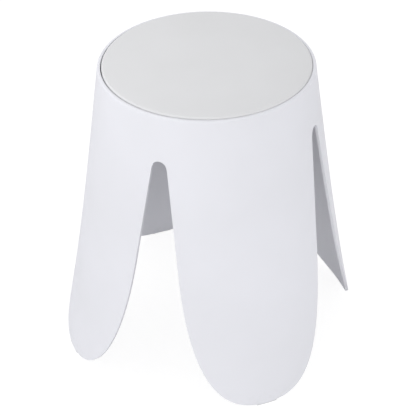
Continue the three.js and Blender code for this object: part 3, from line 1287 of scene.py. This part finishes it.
@dataclass
class SeatScrews:
    """The pan-head screws under the seat, and the bosses and cups that they go through."""

    cup_bottom: float
    count: int = 8
    circle: float = 110 * MM
    shank_radius: float = 2 * MM
    head_radius: float = 4 * MM
    head_height: float = 2.8 * MM
    reach: float = 9 * MM
    boss_radius: float = 4.4 * MM
    cup_radius: float = 7.2 * MM
    cup_floor: float = 2.4 * MM
    gap: float = 0.3 * MM
    recess_reach: float = 2.2 * MM
    recess_half_width: float = 0.45 * MM
    recess_depths: Flat = (1.7 * MM, 1.62 * MM)

    def _turned(self, name: str, corners: Sequence[Corner], closed: bool) -> Piece:
        """Turn a small part on the screw circle, at angle 0."""
        return lathed(name, corners, closed, segments=32, step=22.5, circle=self.circle)

    def boss(self, top: float) -> Piece:
        """Build the tube under the cover that a screw bites into.

        Args:
            top: the height up to which it stands, inside the cover's skin.

        Returns:
            The tube at angle 0.
        """
        bottom = self.cup_bottom + self.cup_floor + self.gap
        bore = self.shank_radius + self.gap
        return self._turned(
            "screw_boss",
            [
                (bore, bottom, 0.3 * MM),
                (self.boss_radius, bottom, 0.5 * MM),
                (self.boss_radius, top, 0.0),
                (bore, top, 0.0),
            ],
            closed=True,
        )

    def cup(self, top: float) -> Piece:
        """Build the frame's cup round a boss.

        Args:
            top: the height up to which it stands, inside the frame's plate.

        Returns:
            The cup at angle 0.
        """
        floor = self.cup_bottom + self.cup_floor
        bore = self.shank_radius + self.gap
        inner = self.boss_radius + self.gap
        return self._turned(
            "screw_cup",
            [
                (bore, self.cup_bottom, 0.3 * MM),
                (self.cup_radius, self.cup_bottom, 0.8 * MM),
                (self.cup_radius, top, 0.0),
                (inner, top, 0.0),
                (inner, floor, 0.4 * MM),
                (bore, floor, 0.0),
            ],
            closed=True,
        )

    def hole(self, low: float, high: float) -> Piece:
        """Build the plug that cuts the plate open over a cup, between two heights."""
        radius = self.boss_radius + self.gap
        corners = [(0.0, low, 0.0), (radius, low, 0.0), (radius, high, 0.0), (0.0, high, 0.0)]
        return self._turned("screw_hole", corners, closed=False)

    def _screw(self) -> Piece:
        """Build one screw with its cross recess, head down."""
        head_top = self.cup_bottom - self.gap
        head_bottom = head_top - self.head_height
        screw = self._turned(
            "seat_screws",
            [
                (0.0, head_bottom, 0.0),
                (self.head_radius, head_bottom, 1.5 * MM),
                (self.head_radius, head_top, 0.2 * MM),
                (self.shank_radius, head_top, 0.2 * MM),
                (self.shank_radius, head_top + self.reach - 1.4 * MM, 0.3 * MM),
                (0.3 * MM, head_top + self.reach, 0.0),
                (0.0, head_top + self.reach, 0.0),
            ],
            closed=False,
        )
        wide, narrow = self.recess_reach, self.recess_half_width
        # The bars are cut in turn, to two depths, so that their floors do not share a plane.
        for across, along, deep in zip((wide, narrow), (narrow, wide), self.recess_depths):
            draft = MeshDraft()
            bar = ((-across, -along), (across, -along), (across, along), (-across, along))
            rows = [
                [Vector((self.circle + x * taper, y * taper, z)) for x, y in bar]
                for taper, z in ((1.1, head_bottom - 1 * MM), (0.55, head_bottom + deep))
            ]
            draft.sheet(rows, close_rows=True)
            for row in rows:
                draft.bm.faces.new([draft.bm.verts.new(point) for point in row])
            cut_out(screw, draft.finish("cross_recess"))
        return screw

    def build(self, ring: RingOfCopies, finish: Finish) -> None:
        """Build the screws and set them on the seat.

        Args:
            ring: the tree that repeats them.
            finish: the screws' steel.
        """
        screws = ring.stand(self._screw(), self.count, finish)
        screws.data.set_sharp_from_angle(angle=SHARP_ANGLE)
        place_piece(screws, Body.SEAT, numbered("seat_screw_"))


@dataclass
class SeatBumpers:
    """The soft bumpers between the seat's frame and the shell's ledge."""

    bottom: float
    top: float
    count: int = 6
    circle: float = 134 * MM
    radius: float = 6 * MM
    stem_radius: float = 2 * MM
    stem: float = 4.5 * MM
    boss_radius: float = 7.5 * MM
    gap: float = 0.3 * MM

    def _turned(self, name: str, corners: Sequence[Corner]) -> Piece:
        """Turn a small solid part on the bumper circle, at angle 0."""
        return lathed(name, corners, closed=False, segments=36, step=18, circle=self.circle)

    def boss(self, bottom: float, top: float) -> Piece:
        """Build the frame's boss that takes a bumper's stem.

        Args:
            bottom: the frame's lowest face.
            top: the height up to which it stands, inside the frame's plate.

        Returns:
            The boss at angle 0.
        """
        bore = self.stem_radius + self.gap
        roof = self.top + self.stem + self.gap
        return self._turned(
            "bumper_boss",
            [
                (0.0, roof, 0.0),
                (bore, roof, 0.0),
                (bore, bottom, 0.3 * MM),
                (self.boss_radius, bottom, 0.8 * MM),
                (self.boss_radius, top, 0.0),
                (0.0, top, 0.0),
            ],
        )

    def build(self, ring: RingOfCopies, finish: Finish) -> None:
        """Build the bumpers and set them on the seat.

        Args:
            ring: the tree that repeats them.
            finish: the soft rubber.
        """
        bumper = self._turned(
            "seat_bumpers",
            [
                (0.0, self.bottom, 0.0),
                (self.radius, self.bottom, 1.0 * MM),
                (self.radius, self.top, 0.6 * MM),
                (self.stem_radius, self.top, 0.3 * MM),
                (self.stem_radius, self.top + self.stem, 0.6 * MM),
                (0.0, self.top + self.stem, 0.0),
            ],
        )
        bumpers = ring.stand(bumper, self.count, finish, start=math.pi / self.count)
        place_piece(bumpers, Body.SEAT, numbered("seat_bumper_"))


@dataclass
class SeatFrame:
    """The ribbed plate under the cover, with a cup for each screw and a boss for each bumper."""

    top: float
    bottom: float
    radius: float
    plate: float = 2.6 * MM
    rib_bottom: float = 435 * MM
    rib: float = 2.2 * MM
    ring_ribs: tuple[float, ...] = (46 * MM, 86 * MM)
    radial_ribs: int = 12
    outer_rib: float = 3 * MM
    segments: int = 144

    def _turned(self, name: str, corners: Sequence[Corner], closed: bool) -> Piece:
        """Turn a section of (radius, z, fillet) corners round the stool's axis."""
        return lathed(name, corners, closed, segments=self.segments, step=30)

    def _plate(self, screws: SeatScrews, ring: RingOfCopies, finish: Finish) -> Piece:
        """Build the plate with its outer rib, open over each screw cup."""
        underside = self.top - self.plate
        inner = self.radius - self.outer_rib
        plate = self._turned(
            "seat_frame_moulding",
            [
                (0.0, self.top, 0.0),
                (self.radius, self.top, 0.8 * MM),
                (self.radius, self.bottom, 0.8 * MM),
                (inner, self.bottom, 0.8 * MM),
                (inner, underside, 1.2 * MM),
                (0.0, underside, 0.0),
            ],
            closed=False,
        )
        # Half a step's turn keeps the holes' corners off the plate's own edges.
        plate.data.transform(Matrix.Rotation(math.pi / self.segments, 4, "Z"))
        holes = ring.stand(screws.hole(underside - 1 * MM, self.top + 1 * MM), screws.count, finish)
        return cut_out(plate, holes)

    def _ring_rib(self, radius: float, top: float) -> Piece:
        """Build a rib that runs round the axis, inside the plate at its top."""
        return self._turned(
            "ring_rib",
            [
                (radius, self.rib_bottom, 0.5 * MM),
                (radius + self.rib, self.rib_bottom, 0.5 * MM),
                (radius + self.rib, top, 0.0),
                (radius, top, 0.0),
            ],
            closed=True,
        )

    def _radial_rib(self, top: float) -> Piece:
        """Build the rib that runs out from the inner ring rib, at angle 0."""
        start = self.ring_ribs[0] + self.rib / 2
        end = self.radius - self.outer_rib / 2
        half = self.rib / 2
        outline = rounded(
            [
                (-half, self.rib_bottom, 0.5 * MM),
                (half, self.rib_bottom, 0.5 * MM),
                (half, top, 0.0),
                (-half, top, 0.0),
            ],
            closed=True,
            step=30,
        )
        draft = MeshDraft()
        draft.prism(outline, start, end, lambda p: Vector((p.z, p.x, p.y)))
        return draft.finish("radial_rib")

    def build(
        self, ring: RingOfCopies, finish: Finish, screws: SeatScrews, bumpers: SeatBumpers
    ) -> None:
        """Build the frame and set it on the seat.

        Args:
            ring: the tree that repeats ribs, cups and bosses.
            finish: the frame's plastic.
            screws: the screws that go through it.
            bumpers: the bumpers that it stands on.
        """
        inside_plate = self.top - self.plate / 2
        parts = [self._plate(screws, ring, finish)]
        parts += [self._ring_rib(radius, inside_plate) for radius in self.ring_ribs]
        rib = self._radial_rib(inside_plate)
        parts.append(ring.stand(rib, self.radial_ribs, finish, start=math.pi / self.radial_ribs))
        parts.append(ring.stand(screws.cup(inside_plate), screws.count, finish))
        boss = bumpers.boss(self.bottom, inside_plate)
        parts.append(ring.stand(boss, bumpers.count, finish, start=math.pi / bumpers.count))
        moulding = joined(parts, "seat_frame_moulding")
        wear_finish(moulding, finish)
        moulding.data.shade_smooth()
        moulding.data.set_sharp_from_angle(angle=SHARP_ANGLE)
        place_piece(moulding, Body.SEAT, ["seat_frame"])


# ---------------------------------------------------------------------------------------------
# Studio
# ---------------------------------------------------------------------------------------------


@dataclass(frozen=True)
class SoftBox:
    """A large square light that points at the stool."""

    name: str
    azimuth: float
    elevation: float
    distance: float
    size: float
    power: float
    colour: tuple[float, float, float] = (1.0, 1.0, 1.0)

    def hang(self, target: Vector) -> None:
        """Hang the light so that it faces a point."""
        lamp = bpy.data.lights.new(self.name, "AREA")
        lamp.shape = "SQUARE"
        lamp.size = self.size
        lamp.energy = self.power
        lamp.color = self.colour
        holder = bpy.data.objects.new(self.name, lamp)
        turn, rise = math.radians(self.azimuth), math.radians(self.elevation)
        away = Vector(
            (math.sin(turn) * math.cos(rise), -math.cos(turn) * math.cos(rise), math.sin(rise))
        )
        holder.location = target + away * self.distance
        holder.rotation_euler = away.to_track_quat("Z", "Y").to_euler()
        bpy.context.scene.collection.objects.link(holder)


@dataclass
class Studio:
    """Pale floor, soft light, and a camera that looks down on the stool from the front."""

    height: float
    azimuth: float = 23.65
    elevation: float = 35.655
    distance_share: float = 4.4635
    lens: float = 117.08
    sensor: float = 36.0
    pan: float = 0.0003
    tilt: float = -0.0099
    roll: float = -0.0130
    floor_half: float = 12.0
    floor_greys: Flat = (0.24, 0.25)
    bounce_greys: Flat = (0.86, 0.88)
    floor_glow: float = 0.85
    horizon_glow: float = 1.74
    zenith_glow: float = 0.33
    room_colour: Colour = (0.985, 0.99, 1.0, 1.0)

    def _floor(self, name: str, level: float, glow: float, seen: bool) -> None:
        """Lay one of the two sheets that make the floor.

        Args:
            name: the sheet's name.
            level: its height.
            glow: how much light it gives off by itself.
            seen: whether it is the sheet that shows, or the one that throws light back up.
        """
        draft = MeshDraft()
        half = self.floor_half
        draft.sheet([[Vector((x, y, level)) for x in (-half, half)] for y in (-half, half)])
        floor = draft.finish(name)
        paint = Shading(name)
        specks = paint.ranged(paint.noise(3.0, 3.0), (0.3, 0.7), (0.0, 1.0))
        pale, paler = self.floor_greys if seen else self.bounce_greys
        paint.feed("Base Color", paint.blend(specks, grey(paler), grey(pale)))
        paint.set(Roughness=0.9, Specular_IOR_Level=0.1, Emission_Strength=glow)
        paint.set(Emission_Color=grey(1.0))
        wear_finish(floor, paint.material)
        floor.visible_camera = seen
        floor.visible_diffuse = floor.visible_glossy = floor.visible_shadow = not seen

    def _camera(self) -> None:
        """Set the camera up."""
        rise = math.radians(self.elevation)
        distance = self.distance_share * self.height
        middle = Vector((0.0, 0.0, self.height / 2))
        away = Vector((0.0, -math.cos(rise), math.sin(rise)))
        aim = away.to_track_quat("Z", "Y").to_matrix().to_4x4()
        trim = (
            Matrix.Rotation(self.pan, 4, "Y")
            @ Matrix.Rotation(self.tilt, 4, "X")
            @ Matrix.Rotation(self.roll, 4, "Z")
        )
        data = bpy.data.cameras.new("camera")
        data.sensor_width = self.sensor
        data.lens = self.lens
        data.clip_end = 40.0
        camera = bpy.data.objects.new("camera", data)
        turn = Matrix.Rotation(math.radians(self.azimuth), 4, "Z")
        camera.matrix_world = turn @ Matrix.Translation(middle + away * distance) @ aim @ trim
        bpy.context.scene.collection.objects.link(camera)
        bpy.context.scene.camera = camera

    def _lights(self) -> None:
        """Hang the soft boxes and light the room, brightest at the horizon."""
        target = Vector((0.0, 0.0, self.height / 2))
        left, front = self.azimuth - 80, self.azimuth - 9
        SoftBox("top_light", left, elevation=66, distance=1.0, size=0.6, power=1.9).hang(target)
        SoftBox("front_light", front, elevation=15, distance=3.0, size=2.0, power=10.2).hang(target)
        world = bpy.data.worlds.new("room")
        world.use_nodes = True
        tree = world.node_tree
        backdrop = tree.nodes["Background"]
        backdrop.inputs["Color"].default_value = self.room_colour
        rise = tree.nodes.new("ShaderNodeSeparateXYZ")
        tree.links.new(tree.nodes.new("ShaderNodeTexCoord").outputs["Generated"], rise.inputs[0])
        fall_off = tree.nodes.new("ShaderNodeMapRange")
        fall_off.inputs["To Min"].default_value = self.horizon_glow
        fall_off.inputs["To Max"].default_value = self.zenith_glow
        tree.links.new(rise.outputs["Z"], fall_off.inputs["Value"])
        tree.links.new(fall_off.outputs["Result"], backdrop.inputs["Strength"])
        bpy.context.scene.world = world

    def build(self) -> None:
        """Build the studio round the stool."""
        self._floor("floor", 0.0, self.floor_glow, seen=True)
        self._floor("floor_bounce", -0.1 * MM, 0.0, seen=False)
        self._camera()
        self._lights()
        bpy.context.scene.view_settings.view_transform = "Standard"
        log.info("studio: camera at azimuth %.1f, elevation %.1f", self.azimuth, self.elevation)


def main() -> None:
    """Build the stool's pieces in order, then the studio."""
    logging.basicConfig(level=logging.INFO, format="%(name)s: %(message)s")
    shell_plastic = ShellPlastic().build()
    seat_plastic = SeatPlastic().build()
    frame_plastic = FramePlastic().build()
    soft_rubber = SoftRubber().build()
    stainless_steel = StainlessSteel().build()
    ring = RingOfCopies()

    rim_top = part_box("shell")[1].z
    wall = WallCurve(height=rim_top)
    outline = LegOutline(wall)
    Shell(wall, outline).build(ring, shell_plastic)
    FootStrips(wall, outline).build(ring, soft_rubber)

    cover_low, cover_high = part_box("seat_cover")
    frame_low, frame_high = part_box("seat_frame")
    bumper_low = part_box("seat_bumper_1")[0].z
    screw_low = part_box("seat_screw_1")[0].z
    screws = SeatScrews(cup_bottom=screw_low + SeatScrews.head_height + SeatScrews.gap)
    bumpers = SeatBumpers(bottom=bumper_low, top=frame_low.z - SeatBumpers.gap)
    SeatCover(top=cover_high.z, radius=cover_high.x, bottom=cover_low.z).build(
        ring, seat_plastic, screws
    )
    SeatFrame(top=frame_high.z, bottom=frame_low.z, radius=frame_high.x).build(
        ring, frame_plastic, screws, bumpers
    )
    screws.build(ring, stainless_steel)
    bumpers.build(ring, soft_rubber)

    Studio(height=rim_top).build()


if __name__ == "__main__":
    main()
